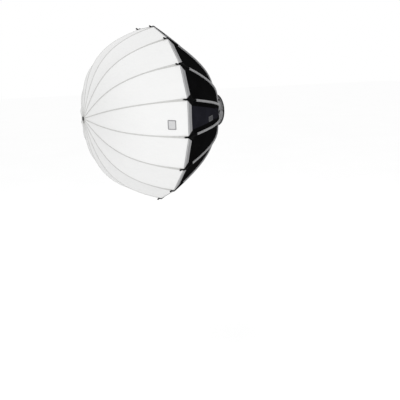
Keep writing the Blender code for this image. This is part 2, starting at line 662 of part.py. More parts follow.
add("rear_patch", *flat_patch(shell, 3, 0.52, 0.74, 0.287, 0.357), mats["label_grey"])
add("dome_label", *flat_patch(dome, 3, 0.53, 0.80, 0.076, 0.128), mats["label_grey"])
make_rods(mats["rod_black"], mats["front_rod_grey"])
make_hub(mats)
make_lever(mats)
make_button(mats)
make_cap(mats)
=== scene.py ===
"""Looks of the folding sixteen-rod softbox: cloth petals, tapes, pockets, labels and hub finish.

Frame: metres, +Z up, light axis along Y, the lamp side at +Y. Each rib carries its own petal of the
shell and each front rod its petal of the dome. A petal is a strip that stays stiff on its rod and
side folds beside it. Petals are drawn in the plane of their rod: x runs round the rim, z away from
the light axis, s along the ridge from the rim corner.
"""

import math

import bpy
import numpy as np
from mathutils import Euler, Matrix, Vector


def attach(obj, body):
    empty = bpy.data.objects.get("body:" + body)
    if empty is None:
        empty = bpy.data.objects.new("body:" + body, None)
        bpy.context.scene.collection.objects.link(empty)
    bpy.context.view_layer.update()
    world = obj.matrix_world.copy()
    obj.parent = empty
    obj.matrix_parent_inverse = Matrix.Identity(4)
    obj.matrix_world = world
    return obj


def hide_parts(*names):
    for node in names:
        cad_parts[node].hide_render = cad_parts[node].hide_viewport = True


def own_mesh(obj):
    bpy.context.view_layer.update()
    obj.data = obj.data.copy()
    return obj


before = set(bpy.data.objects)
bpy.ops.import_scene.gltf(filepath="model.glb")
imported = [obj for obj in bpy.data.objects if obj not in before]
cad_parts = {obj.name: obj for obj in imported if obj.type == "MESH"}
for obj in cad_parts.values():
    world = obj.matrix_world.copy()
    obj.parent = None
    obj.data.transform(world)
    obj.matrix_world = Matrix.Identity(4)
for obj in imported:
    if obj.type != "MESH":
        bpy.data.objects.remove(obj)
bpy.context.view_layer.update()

# ------------------------------------------------------------------ driving dimensions, metres
N_RIBS = 16
PITCH = 2 * math.pi / N_RIBS
SLOPE = math.tan(PITCH / 2)                    # fall of a gore away from its rib
RIM_R = 0.600
RIM_Y = -0.539
SHELL_LINE = ((RIM_R, RIM_Y), (0.3456, -0.119), (0.2556, -0.131), (0.111, -0.049))
POLE_Y = -1.029
DOME_LINE = ((RIM_R, RIM_Y), (0.480, -0.924), (0.303, -0.973), (0.0, POLE_Y))
SHELL_HOLLOW, DOME_HOLLOW = 0.007, 0.004       # how far a gore is drawn in between its ribs
CLOTH = 0.0006                                 # cloth thickness
RIDGE_ROUND = 0.004                            # reach of the rounding over a rod
RIM_EDGE = 0.0008                              # dome edge from the rim corner
POLE_HOLE_R = 0.0075
LABEL_GORE = 3                                 # gore that carries both labels
REAR_PATCH = (0.0160, 0.0350, 0.2870)          # half width, half length, start from the rim
DOME_LABEL = (0.0290, 0.0260, 0.0760)          # the same for the front label
REAR_PATCH_SIDE, DOME_LABEL_SIDE = 0.0390, 0.0440      # their near edge from the rib
LABEL_CORNER = 0.004                           # radius of a label's corners

# A petal has a band at the rim and another beyond it. Each has the half width of its stiff strip,
# and the share of their width that its side folds keep when the frame is shut.
SHELL_SPLIT, DOME_SPLIT = 0.420, 0.443         # where the first band ends, along s
SHELL_RIM_HALF, SHELL_RIM_KEEP = 0.0365, 0.02
SHELL_HUB_HALF, SHELL_HUB_KEEP = 0.0276, 0.24
DOME_RIM_HALF, DOME_RIM_KEEP = 0.0420, 0.06
DOME_POLE_HALF, DOME_POLE_KEEP = 0.0040, 0.66

BAND_S0, BAND_S1 = -0.0020, 0.046              # rim bar, along s
BAND_END = 0.0085                              # rim bar's end beside the corner, at the rim
BAND_SLANT = 0.55                              # how far its end leans away from the corner
BAND_HEM, BAND_FLAT = 0.0026, 0.0020           # rise of the rim bar on its hem and between its hems
WEB_HALF, WEB_START = 0.0072, 0.095            # rod sleeve: half width, and start of its grey part
WEB_PROUD = 0.0085                             # height of a rod sleeve over the cloth
SLEEVE_COLUMNS = 11                            # points across a sleeve or a pocket
CAP_TIP, CAP_SHOULDER = -0.0285, -0.0262       # the cap of a corner pocket past the rim corner
POCKET_END, POCKET_HALF = 0.063, 0.030         # the pocket's far edge and half of its width
GAP = 0.0002                                   # sewn pieces stand this far over their cloth
TAPE_GAP = 0.0003                              # tapes and bars stand this far over it
LOOP_WIDE, LOOP_THICK = 0.0104, 0.0007         # cloth loop on the front cap
LOOP_TURN = 0.0011                             # radius of its free end


def rib_angle(k):
    return (k + 0.5) * PITCH


# ------------------------------------------------------------------ material building
class Finish:
    """A material under construction: one Principled shader and the nodes that drive it."""

    def __init__(self, name, colour, rough, **fixed):
        self.mat = bpy.data.materials.new(name)
        self.mat.use_nodes = True
        self.mat.diffuse_color = (*colour, 1)
        self.tree = self.mat.node_tree
        self.shader = self.tree.nodes["Principled BSDF"]
        self.shader.inputs["Base Color"].default_value = (*colour, 1)
        self.shader.inputs["Roughness"].default_value = rough
        for socket, value in fixed.items():
            self.shader.inputs[socket.replace("_", " ")].default_value = value
        self.places = self.node("ShaderNodeTexCoord").outputs

    def node(self, kind, inputs=(), **settings):
        n = self.tree.nodes.new(kind)
        for name, value in settings.items():
            setattr(n, name, value)
        for where, value in dict(inputs).items():
            if isinstance(value, bpy.types.NodeSocket):
                self.tree.links.new(value, n.inputs[where])
            else:
                n.inputs[where].default_value = value
        return n

    def math(self, operation, a, b=0.0, c=0.0, clamp=False):
        n = self.node("ShaderNodeMath", {0: a, 1: b, 2: c}, operation=operation)
        n.use_clamp = clamp
        return n.outputs[0]

    def uv(self):
        """(x, s) in metres on cloth pieces."""
        n = self.node("ShaderNodeSeparateXYZ", {0: self.places["UV"]})
        return n.outputs[0], n.outputs[1]

    def noise(self, scale, detail=3.0, rough=0.55, stretch=None, where="Object"):
        at = self.places[where]
        if stretch:
            at = self.node("ShaderNodeMapping", {"Vector": at, "Scale": stretch}).outputs[0]
        found = self.node("ShaderNodeTexNoise", {"Vector": at, "Scale": scale, "Detail": detail,
                                                 "Roughness": rough})
        return found.outputs["Fac"]

    def ramp(self, value, low, high, to_low=0.0, to_high=1.0):
        return self.node("ShaderNodeMapRange", {"Value": value, "From Min": low, "From Max": high,
                                                "To Min": to_low, "To Max": to_high}).outputs[0]

    def blend(self, share, a, b):
        """Colour a where share is 0 and b where it is 1."""
        n = self.node("ShaderNodeMix", data_type="RGBA")
        for where, value in ((0, share), (6, a), (7, b)):
            if isinstance(value, bpy.types.NodeSocket):
                self.tree.links.new(value, n.inputs[where])
            else:
                n.inputs[where].default_value = value if where == 0 else (*value, 1)
        return n.outputs[2]

    def weave(self, pitch):
        """Plain weave: threads that rise and dive in turn, 0 to 1."""
        x, s = self.uv()
        turn = math.pi / pitch
        across = self.math("SINE", self.math("MULTIPLY", x, turn))
        along = self.math("SINE", self.math("MULTIPLY", s, turn))
        return self.math("MULTIPLY_ADD", self.math("MULTIPLY", across, along), 0.5, 0.5)

    def twill(self, pitch):
        """Diagonal ribs of a herringbone tape that change direction at its middle, 0 to 1."""
        x, s = self.uv()
        slant = self.math("ADD", self.math("ABSOLUTE", x), s)
        wave = self.math("SINE", self.math("MULTIPLY", slant, 2 * math.pi / pitch))
        return self.math("MULTIPLY_ADD", wave, 0.5, 0.5)

    def line(self, value, at, half):
        """1 on a line where value is at, falling to 0 half away."""
        off = self.math("ABSOLUTE", self.math("SUBTRACT", value, at))
        return self.math("SUBTRACT", 1.0, self.math("DIVIDE", off, half), clamp=True)

    def stitches(self, across, along, at, pitch=0.0042, half=0.0007):
        """A row of stitches: dashes along one line."""
        dash = self.math("SINE", self.math("MULTIPLY", along, 2 * math.pi / pitch))
        dash = self.ramp(dash, -0.55, -0.2)
        return self.math("MULTIPLY", self.line(across, at, half), dash)

    def bump(self, height, distance, strength=1.0, before=None):
        found = {"Height": height, "Distance": distance, "Strength": strength}
        if before is not None:
            found["Normal"] = before
        return self.node("ShaderNodeBump", found).outputs[0]

    def wire(self, colour=None, rough=None, normal=None):
        for socket, value in (("Base Color", colour), ("Roughness", rough), ("Normal", normal)):
            if value is not None:
                self.tree.links.new(value, self.shader.inputs[socket])
        return self.mat


BLACK = (0.0022, 0.0022, 0.0023)


def scaled(colour, by):
    return tuple(min(c * by, 1.0) for c in colour)


def shell_cloth(name, colour):
    """Black coated nylon: fine plain weave, faint dusty patches, soft tension wrinkles."""
    f = Finish(name, colour, 0.78, Specular_IOR_Level=0.0, Sheen_Weight=0.004, Sheen_Roughness=0.5)
    weave, patches = f.weave(0.0011), f.noise(9, 4)
    thread = f.blend(weave, scaled(colour, 0.72), scaled(colour, 1.25))
    worn = f.blend(f.ramp(patches, 0.45, 0.75, 0, 0.5), thread, scaled(colour, 1.9))
    wrinkle = f.noise(6, 3, 0.5, (5, 1.2, 1), "UV")
    normal = f.bump(wrinkle, 0.006, 0.55)
    return f.wire(worn, f.ramp(patches, 0.3, 0.7, 0.66, 0.82), f.bump(weave, 0.00022, 0.8, normal))


def silver_lining():
    """Silver-coated lining with an embossed grain."""
    f = Finish("silver_lining", (0.72, 0.72, 0.73), 0.34, Metallic=0.85)
    grain = f.node("ShaderNodeTexVoronoi", {"Vector": f.places["UV"], "Scale": 420.0}).outputs[0]
    patches = f.noise(14, 4)
    colour = f.blend(patches, (0.62, 0.62, 0.63), (0.82, 0.82, 0.83))
    return f.wire(colour, f.ramp(patches, 0.3, 0.7, 0.28, 0.45), f.bump(grain, 0.0003, 0.6))


def dome_cloth():
    """White diffusion cloth: dense weave, hardly any shine, long soft ripples towards the rods."""
    f = Finish("dome_cloth", (0.70, 0.70, 0.698), 0.88, Specular_IOR_Level=0.04,
               Sheen_Weight=0.03, Sheen_Roughness=0.6)
    weave, patches = f.weave(0.0009), f.noise(5, 4)
    thread = f.blend(weave, (0.680, 0.681, 0.678), (0.725, 0.725, 0.722))
    x, s = f.uv()
    seam = f.line(f.math("ABSOLUTE", x), 0.0, 0.016)
    shade = f.math("MULTIPLY", seam, f.ramp(f.noise(40, 2), 0.3, 0.8, 0.0, 0.35))
    worn = f.blend(f.ramp(patches, 0.4, 0.8, 0, 0.35), thread, (0.670, 0.672, 0.671))
    colour = f.blend(shade, worn, (0.61, 0.61, 0.598))
    ripple = f.noise(5, 2, 0.5, (6, 0.9, 1), "UV")
    pucker = f.math("MULTIPLY", seam, f.math("SINE", f.math("MULTIPLY", s, 2 * math.pi / 0.011)))
    normal = f.bump(pucker, 0.0004, 0.7, f.bump(ripple, 0.0045, 0.5))
    normal = f.bump(weave, 0.00016, 0.7, normal)
    return f.wire(colour, f.ramp(patches, 0.3, 0.7, 0.80, 0.92), normal)


def woven_tape(name, colour, lines, pitch=0.0021, dark_middle=None):
    """Herringbone tape with rows of stitching. lines are (which coordinate, place), and dark_middle
    is (low s, high s, colour)."""
    f = Finish(name, colour, 0.80, Specular_IOR_Level=0.2, Sheen_Weight=0.08)
    x, s = f.uv()
    side = f.math("ABSOLUTE", x)
    twill, patches = f.twill(pitch), f.noise(45, 4)
    base = f.blend(twill, scaled(colour, 0.80), scaled(colour, 1.16))
    if dark_middle:
        low, high, shade = dark_middle
        middle = f.math("MULTIPLY", f.ramp(s, low - 0.001, low + 0.001),
                        f.ramp(s, high + 0.001, high - 0.001))
        base = f.blend(middle, base, shade)
    base = f.blend(f.ramp(patches, 0.5, 0.85, 0, 0.4), base, scaled(colour, 0.66))
    thread = None
    for which, at in lines:
        row = f.stitches(side, s, at) if which == "x" else f.stitches(s, x, at)
        thread = row if thread is None else f.math("MAXIMUM", thread, row)
    normal = f.bump(twill, 0.0004, 0.7)
    if thread is not None:
        base = f.blend(thread, base, scaled(colour, 1.45))
        normal = f.bump(thread, 0.0005, 0.9, normal)
    return f.wire(base, f.ramp(patches, 0.3, 0.7, 0.74, 0.88), normal)


def pocket_cloth():
    """Coarse black pack cloth of the corner pockets, with stitching near its edges."""
    colour = (0.0020, 0.0020, 0.0021)
    f = Finish("pocket_cloth", colour, 0.75, Specular_IOR_Level=0.01, Sheen_Weight=0.004)
    x, s = f.uv()
    weave, patches = f.weave(0.0018), f.noise(60, 3)
    row = f.math("MAXIMUM", f.stitches(f.math("ABSOLUTE", x), s, 0.0145), f.stitches(s, x, 0.057))
    base = f.blend(weave, scaled(colour, 0.6), scaled(colour, 1.6))
    base = f.blend(f.ramp(patches, 0.5, 0.8, 0, 0.5), base, scaled(colour, 2.4))
    base = f.blend(row, base, (0.016, 0.016, 0.017))
    normal = f.bump(row, 0.0005, 0.9, f.bump(weave, 0.0005, 0.8))
    return f.wire(base, f.ramp(patches, 0.3, 0.7, 0.62, 0.8), normal)


def sewn_label(name, colour, border, size):
    """Woven label with a turned and stitched border; its UV starts at its own middle."""
    f = Finish(name, colour, 0.78, Specular_IOR_Level=0.15, Sheen_Weight=0.03)
    x, s = f.uv()
    weave, patches = f.twill(0.0012), f.noise(45, 4)
    base = f.blend(weave, scaled(colour, 0.85), scaled(colour, 1.12))
    off_x = f.math("SUBTRACT", size[0], f.math("ABSOLUTE", x))
    off_s = f.math("SUBTRACT", size[1], f.math("ABSOLUTE", s))
    inward = f.math("MINIMUM", off_x, off_s)
    rim = f.ramp(inward, 0.0046, 0.0040)
    base = f.blend(rim, base, border)
    row = f.math("MAXIMUM", f.stitches(off_x, s, 0.0062), f.stitches(off_s, x, 0.0062))
    row = f.math("MULTIPLY", row, f.ramp(inward, 0.0050, 0.0054))
    base = f.blend(row, base, border)
    base = f.blend(f.ramp(patches, 0.5, 0.85, 0, 0.35), base, scaled(colour, 0.75))
    normal = f.bump(row, 0.0004, 0.9, f.bump(rim, 0.0005, 0.8, f.bump(weave, 0.0003, 0.7)))
    return f.wire(base, f.ramp(patches, 0.3, 0.7, 0.70, 0.85), normal)


def moulded(name, colour, rough, metal=0.0, grain=900.0, wear=0.35, spec=0.5, bump=0.00008):
    """Moulded or painted surface: fine grain, handling marks and a little dust."""
    f = Finish(name, colour, rough, Metallic=metal, Specular_IOR_Level=spec)
    grainy, marks, dust = f.noise(grain, 2), f.noise(55, 5, 0.65, (1, 3, 1)), f.noise(14, 3)
    base = f.blend(f.ramp(marks, 0.55, 0.78, 0, wear), colour, scaled(colour, 2.0))
    base = f.blend(f.ramp(dust, 0.35, 0.75, 0, 0.45), base, scaled(colour, 0.62))
    return f.wire(base, f.ramp(marks, 0.3, 0.75, rough * 0.82, min(rough * 1.25, 1.0)),
                  f.bump(grainy, bump, 0.8))


def turned_metal(name, colour, rough, lines=1500.0):
    """Metal turned about the light axis: concentric tool lines and a faint haze."""
    f = Finish(name, colour, rough, Metallic=1.0)
    xyz = f.node("ShaderNodeSeparateXYZ", {0: f.places["Object"]}).outputs
    radius = f.math("SQRT", f.math("ADD", f.math("POWER", xyz[0], 2.0), f.math("POWER", xyz[2], 2.0)))
    rings = f.math("MULTIPLY_ADD", f.math("SINE", f.math("MULTIPLY", radius, lines * 2 * math.pi)),
                   0.5, 0.5)
    haze = f.noise(35, 4)
    base = f.blend(f.ramp(haze, 0.4, 0.8, 0, 0.5), colour, scaled(colour, 0.7))
    base = f.blend(f.math("MULTIPLY", rings, 0.25), base, scaled(colour, 1.25))
    return f.wire(base, f.ramp(haze, 0.3, 0.7, rough * 0.8, rough * 1.3), f.bump(rings, 0.00005, 0.6))


def rod_paint(name, colour, rough):
    """Powder-coated or fibre rod: orange-peel grain and rubbed stretches."""
    f = Finish(name, colour, rough, Specular_IOR_Level=0.35)
    peel, rubbed = f.noise(700, 2), f.noise(30, 4)
    base = f.blend(f.ramp(rubbed, 0.55, 0.8, 0, 0.4), colour, scaled(colour, 2.5))
    return f.wire(base, f.ramp(rubbed, 0.3, 0.7, rough * 0.8, min(1.0, rough * 1.3)),
                  f.bump(peel, 0.00006, 0.8))


LOOK = {
    "shell": shell_cloth("shell_cloth", BLACK),
    # the gore that carries the labels has its black cloth drawn a lighter, bluish black
    "shell_bluish": shell_cloth("shell_cloth_bluish_gore", (0.0092, 0.0092, 0.0125)),
    "lining": silver_lining(),
    "dome": dome_cloth(),
    "webbing": woven_tape("rod_sleeve", (0.215, 0.215, 0.220), [("x", WEB_HALF - 0.0010)]),
    "band": woven_tape("rim_band", (0.40, 0.40, 0.405), [("s", 0.0075), ("s", 0.0425)], 0.0024,
                       (0.0105, 0.060, (0.225, 0.225, 0.230))),
    "tape": woven_tape("dome_seam_tape", (0.50, 0.50, 0.488), [("x", 0.0026)], 0.0016),
    "pocket": pocket_cloth(),
    "patch": sewn_label("blank_patch", (0.034, 0.034, 0.038), (0.090, 0.090, 0.094), REAR_PATCH),
    "label": sewn_label("blank_label", (0.52, 0.52, 0.525), (0.17, 0.17, 0.175), DOME_LABEL),
    "rubber": moulded("bumper_rubber", (0.0055, 0.0055, 0.0058), 0.66, spec=0.15),
    "plate": moulded("mount_plate_paint", (0.30, 0.30, 0.305), 0.46, 0.35),
    "collar": moulded("collar_paint", (0.190, 0.190, 0.195), 0.50, 0.15),
    "plastic": moulded("black_plastic", (0.016, 0.016, 0.0165), 0.48, spec=0.35),
    "lever": moulded("lever_plastic", (0.210, 0.210, 0.216), 0.52, spec=0.4),
    "button": moulded("button_plastic", (0.045, 0.045, 0.050), 0.42, spec=0.4),
    "screw": moulded("screw_black_oxide", (0.030, 0.030, 0.031), 0.38, 0.8, 1200.0),
    "insert": turned_metal("turned_steel", (0.56, 0.56, 0.57), 0.30),
    "throat": turned_metal("turned_aluminium", (0.74, 0.74, 0.75), 0.26, 900.0),
    "steel": moulded("steel_wire", (0.50, 0.50, 0.51), 0.32, 1.0),
    "rod": rod_paint("rib_coating", (0.012, 0.012, 0.0125), 0.38),
    "front_rod": rod_paint("front_rod_fibre", (0.30, 0.30, 0.305), 0.42),
}


# ------------------------------------------------------------------ cloth surface
class Ridge:
    """A smooth ridge line in (radius, y), measured by its length from the rim corner."""

    def __init__(self, line, hollow):
        self.line, self.hollow = [np.array(p) for p in line], hollow
        self.t = np.linspace(0, 1, 2001)
        p = self.point(self.t)
        self.s = np.concatenate([[0], np.cumsum(np.linalg.norm(np.diff(p, axis=0), axis=1))])
        self.length = float(self.s[-1])

    def point(self, t):
        a, b, c, d = self.line
        t = np.asarray(t)[..., None]
        return (1 - t) ** 3 * a + 3 * (1 - t) ** 2 * t * b + 3 * (1 - t) * t * t * c + t ** 3 * d

    def along(self, t):
        a, b, c, d = self.line
        t = np.asarray(t)[..., None]
        v = (1 - t) ** 2 * (b - a) + 2 * (1 - t) * t * (c - b) + t * t * (d - c)
        return v / np.linalg.norm(v, axis=-1, keepdims=True)

    def at(self, s):
        """Points and outward normals at lengths s; s below 0 runs straight on past the corner."""
        t = np.interp(s, self.s, self.t)
        way = self.along(t)
        p = self.point(t) + way * np.minimum(s, 0)[..., None]
        n = np.stack([-way[..., 1], way[..., 0]], -1)
        return p, n * np.where(n[..., :1] < 0, -1, 1)

    def half_width(self, s):
        """Half of a gore's width at s, measured square to its rib."""
        return self.at(np.asarray(s, float))[0][..., 0] * math.sin(PITCH) / 2

    def where_half(self, w):
        s = np.linspace(0, self.length, 4001)
        return float(np.interp(-w, -self.half_width(s), s))

    def surface(self, x, s):
        """Cloth points in a rib's plane for arrays of x and s."""
        p, n = self.at(s)
        r, y = p[..., 0], p[..., 1]
        side, reach = np.sign(x), np.abs(x)
        share = reach / np.maximum(r * math.sin(PITCH), 1e-6)
        z = r - SLOPE * reach - RIDGE_ROUND * SLOPE * np.exp(-reach / RIDGE_ROUND)
        bow = np.sin(math.pi * np.clip(s / self.length, 0, 1))
        drawn = self.hollow * bow * 4 * share * (1 - share) * (1 - np.exp(-reach / RIDGE_ROUND))
        fold = PITCH / 2
        return np.stack([x - drawn * n[..., 0] * side * math.sin(fold), y - drawn * n[..., 1],
                         z - drawn * n[..., 0] * math.cos(fold)], -1)

    def sheet(self, x, s):
        """Points and unit normals; the normals come from the surface itself, so that pieces which
        meet on it are shaded as one cloth."""
        dx, ds = 0.0004, 0.0008
        ahead = self.surface(x + dx, s) - self.surface(x - dx, s)
        up = self.surface(x, s + ds) - self.surface(x, s - ds)
        n = np.cross(ahead, up)
        n /= np.maximum(np.linalg.norm(n, axis=-1, keepdims=True), 1e-12)
        _, out = self.at(s)
        sign = np.sign(n[..., 1] * out[..., 1] + n[..., 2] * out[..., 0])
        return self.surface(x, s), n * sign[..., None]


shell = Ridge(SHELL_LINE, SHELL_HOLLOW)
dome = Ridge(DOME_LINE, DOME_HOLLOW)
DOME_END = float(np.interp(-POLE_HOLE_R, -dome.point(dome.t)[:, 0], dome.s))


def spaced(a, b, step):
    """Even places from a to b, no more than a step apart."""
    return np.linspace(a, b, max(2, int(math.ceil(abs(b - a) / step)) + 1))


def profile(s, *points):
    """Values at s on straight lines between (s, value) points."""
    return np.interp(s, *zip(*points))


def across(half, u):
    """x grid from half widths by rows and shares u by columns."""
    return half[:, None] * u[None, :]


def lengthwise(s, columns):
    """s grid with the same s in every column."""
    return np.broadcast_to(s[:, None], (len(s), columns))


def rounded(columns):
    """Shares from -1 to 1, closer together towards the two edges."""
    return np.sin(np.linspace(-math.pi / 2, math.pi / 2, columns))


class Cloth:
    """Gathers grids of cloth into one mesh with its own normals and (x, s) as UV in metres."""

    def __init__(self):
        self.verts, self.faces, self.normals, self.uvs, self.looks = [], [], [], [], []
        self.count = 0

    def grid(self, ridge, x, s, low, high, inside=0, middle=(0.0, 0.0), raised=False):
        """A closed sheet over grids x, s, from low to high above the surface; a raised one is
        shaded by its own section. inside is the look of its inner side, middle the UV's zero."""
        p, n = ridge.sheet(x, s)
        high = np.broadcast_to(high, x.shape)[..., None]
        low = np.broadcast_to(low, x.shape)[..., None]
        rows, cols = x.shape
        first, size = self.count, rows * cols
        self.verts += [(p + n * high).reshape(-1, 3), (p + n * low).reshape(-1, 3)]
        self.count += 2 * size
        turn = np.cross(p[0, -1] - p[0, 0], p[-1, 0] - p[0, 0]) @ n[0, 0] > 0
        flat_n, outer = n.reshape(-1, 3), n
        if raised:
            top = p + n * high
            outer = np.cross(np.gradient(top, axis=1), np.gradient(top, axis=0))
            outer /= np.maximum(np.linalg.norm(outer, axis=-1, keepdims=True), 1e-12)
            outer = outer * np.sign((outer * n).sum(-1, keepdims=True))
        flat_outer = outer.reshape(-1, 3)
        where = np.stack([x - middle[0], s - middle[1]], -1).reshape(-1, 2)

        def face(ids, look, level):
            order = ids if turn else ids[::-1]
            self.faces.append([first + i + (size if level else 0) for i in order])
            self.normals += [-flat_n[i] if level else flat_outer[i] for i in order]
            self.uvs += [where[i] for i in order]
            self.looks.append(look)

        for i in range(rows - 1):
            for j in range(cols - 1):
                quad = [i * cols + j, i * cols + j + 1, (i + 1) * cols + j + 1, (i + 1) * cols + j]
                face(quad, 0, False)
                face(quad[::-1], inside, True)
        rim = [j for j in range(cols)] + [i * cols + cols - 1 for i in range(1, rows)]
        rim += [(rows - 1) * cols + j for j in range(cols - 2, -1, -1)]
        rim += [i * cols for i in range(rows - 2, 0, -1)]
        points = np.concatenate(self.verts[-2:])
        for a, b in zip(rim, rim[1:] + rim[:1]):
            quad = [b, a, a + size, b + size]
            order = quad if turn else quad[::-1]
            c = points[order]
            flat = np.cross(c[2] - c[0], c[3] - c[1])
            flat = flat / max(np.linalg.norm(flat), 1e-12)
            self.faces.append([first + i for i in order])
            self.normals += [flat] * 4
            self.uvs += [where[i % size] for i in order]
            self.looks.append(0)
        return self

    def make(self, name, looks, k):
        """The object, drawn in the plane of rib k."""
        mesh = bpy.data.meshes.new(name)
        mesh.from_pydata([tuple(v) for v in np.concatenate(self.verts)], [], self.faces)
        mesh.polygons.foreach_set("use_smooth", [True] * len(mesh.polygons))
        mesh.polygons.foreach_set("material_index", self.looks)
        layer = mesh.uv_layers.new(name="UVMap")
        layer.data.foreach_set("uv", np.array(self.uvs, np.float32).ravel())
        for look in looks:
            mesh.materials.append(LOOK[look])
        mesh.normals_split_custom_set([tuple(n) for n in self.normals])
        obj = bpy.data.objects.new(name, mesh)
        bpy.context.scene.collection.objects.link(obj)
        obj.matrix_world = Matrix.Rotation(rib_angle(k), 4, "Y")
        return obj


def body(kind, k):
    return f"{kind}_{k + 1:02d}_body"


def finish_piece(obj, rider, replaced):
    """Make a piece ride its body and hide the CAD node that it stands for."""
    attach(obj, rider)
    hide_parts(replaced)


def fold_to(obj):
    """Gives the piece a mesh of its own."""
    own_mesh(obj)


# ------------------------------------------------------------------ petals
def shares_strip(half):
    """Columns across a stiff strip, closer together over the rod."""
    c = np.array([0, 0.0016, 0.0034, 0.006, 0.0095, 0.014, 0.0205, 0.028, 0.0365, 0.042])
    least_step = 0.0006
    c = np.append(c[c < half - least_step], half)
    return np.concatenate([-c[:0:-1], c])


def strip_grid(ridge, s, half):
    """x and s grids of a stiff strip that never leaves its gore."""
    cols = shares_strip(half)
    limit = np.minimum(half, ridge.half_width(s))
    return across(limit / half, cols), lengthwise(s, len(cols))


def fold_grid(ridge, s, half, side, columns):
    """x and s grids from a strip's edge to the middle of the gore."""
    u = np.linspace(0, 1, columns + 1)
    least = 0.0001
    wide = np.maximum(ridge.half_width(s), half + least)
    return side * (half + across(wide - half, u)), lengthwise(s, len(u))


def petal(kind, ridge, k, bands, looks):
    """A strip on its rod and, for each band, a pair of folds beside it."""
    rider = body("rib" if ridge is shell else "dome_rod", k)
    replaced, slot = f"{kind}_fabric", "shell_black" if ridge is shell else "dome_white"
    strip, sizes = Cloth(), []
    for s, half, keep, columns, name in bands:
        x, t = strip_grid(ridge, s, half)
        strip.grid(ridge, x, t, -CLOTH, 0.0, inside=1)
        sizes.append((x, t))
        if keep is None:
            continue
        for side, hand in ((1, "right"), (-1, "left")):
            gore = k if side > 0 else (k - 1) % N_RIBS
            # the gore that carries the labels gets the lighter, bluish black cloth
            chosen = ["shell_bluish", looks[1]] if ridge is shell and gore == LABEL_GORE else looks
            x, t = fold_grid(ridge, s, half, side, columns)
            obj = Cloth().grid(ridge, x, t, -CLOTH, 0.0, inside=1).make(
                f"{kind}_{name}_{hand}_{k + 1:02d}", chosen, k)
            fold_to(obj)
            finish_piece(obj, rider, replaced)
    obj = strip.make(f"{kind}_strip_{k + 1:02d}", looks, k)
    finish_piece(obj, rider, replaced)


# Where a gore is hardly wider than the strips, and has no folds left.
SHELL_MERGE = shell.where_half(SHELL_HUB_HALF + 0.0002)
DOME_MERGE = dome.where_half(DOME_POLE_HALF + 0.0002)
# Each band: places along s, half width of the strip, share that its folds keep, columns, name.
SHELL_BANDS = [
    (spaced(0.0, SHELL_SPLIT, 0.022), SHELL_RIM_HALF, SHELL_RIM_KEEP, 7, "rim_fold"),
    (spaced(SHELL_SPLIT, SHELL_MERGE, 0.018), SHELL_HUB_HALF, SHELL_HUB_KEEP, 4, "hub_fold"),
    (spaced(SHELL_MERGE, shell.length, 0.010), SHELL_HUB_HALF, None, 0, ""),
]
DOME_BANDS = [
    (spaced(RIM_EDGE, DOME_SPLIT, 0.020), DOME_RIM_HALF, DOME_RIM_KEEP, 7, "rim_fold"),
    (spaced(DOME_SPLIT, DOME_MERGE, 0.020), DOME_POLE_HALF, DOME_POLE_KEEP, 7, "pole_fold"),
    (spaced(DOME_MERGE, DOME_END, 0.006), DOME_POLE_HALF, None, 0, ""),
]


# ------------------------------------------------------------------ tapes, pockets and labels
def crowned(x, half, low, high):
    """Height over a tape that thins by 18 percent towards its two edges."""
    share = np.clip(np.abs(x) / half, 0, 1)
    return low + (high - low) * (1 - 0.18 * share ** 6)


def sleeve_grid(s, half, proud):
    """x and s grids and heights of a half-round sleeve."""
    angle = np.linspace(-math.pi / 2, math.pi / 2, SLEEVE_COLUMNS)
    foot = 0.0008
    high = foot + (proud[:, None] - foot) * np.cos(angle)[None, :] ** 0.8
    return across(half, np.sin(angle)), lengthwise(s, SLEEVE_COLUMNS), high


def rod_sleeve(k):
    """The grey sleeve of the rod on the shell ridge, open at the rim and flat at the hub."""
    end = shell.length - 0.002
    mouth = 0.008
    s = np.concatenate([WEB_START + np.array([0, 0.0006, 0.002, 0.0045, mouth]),
                        spaced(WEB_START + 0.014, end - 0.030, 0.014),
                        end - np.array([0.022, 0.012, 0])])
    opened = np.clip((s - WEB_START) / mouth, 0, 1)
    rise = np.sqrt(1 - (1 - opened) ** 2)
    half = WEB_HALF * (0.45 + 0.55 * rise)
    edge = 0.0012
    proud = edge + (WEB_PROUD - edge) * rise * profile(s, (end - 0.045, 1), (end - 0.012, 0))
    x, t, high = sleeve_grid(s, half, proud)
    web = Cloth().grid(shell, x, t, GAP, high, raised=True).make(f"webbing_{k + 1:02d}", ["webbing"], k)
    finish_piece(web, body("rib", k), "ridge_webbing")


def dome_tape(k):
    """The seam tape on a dome ridge, wide at the rim corner and narrow at the pole."""
    s = spaced(0.012, DOME_END - 0.002, 0.016)
    half = profile(s, (0.012, 0.0090), (0.06, 0.0080), (0.11, 0.0060), (0.20, 0.0040), (0.60, 0.0034),
                   (DOME_END, 0.0030))
    x, t = across(half, rounded(7)), lengthwise(s, 7)
    high = crowned(x, half[:, None], TAPE_GAP, 0.0010)
    tape = Cloth().grid(dome, x, t, TAPE_GAP, high).make(f"dome_tape_{k + 1:02d}", ["tape"], k)
    finish_piece(tape, body("dome_rod", k), "dome_tapes")


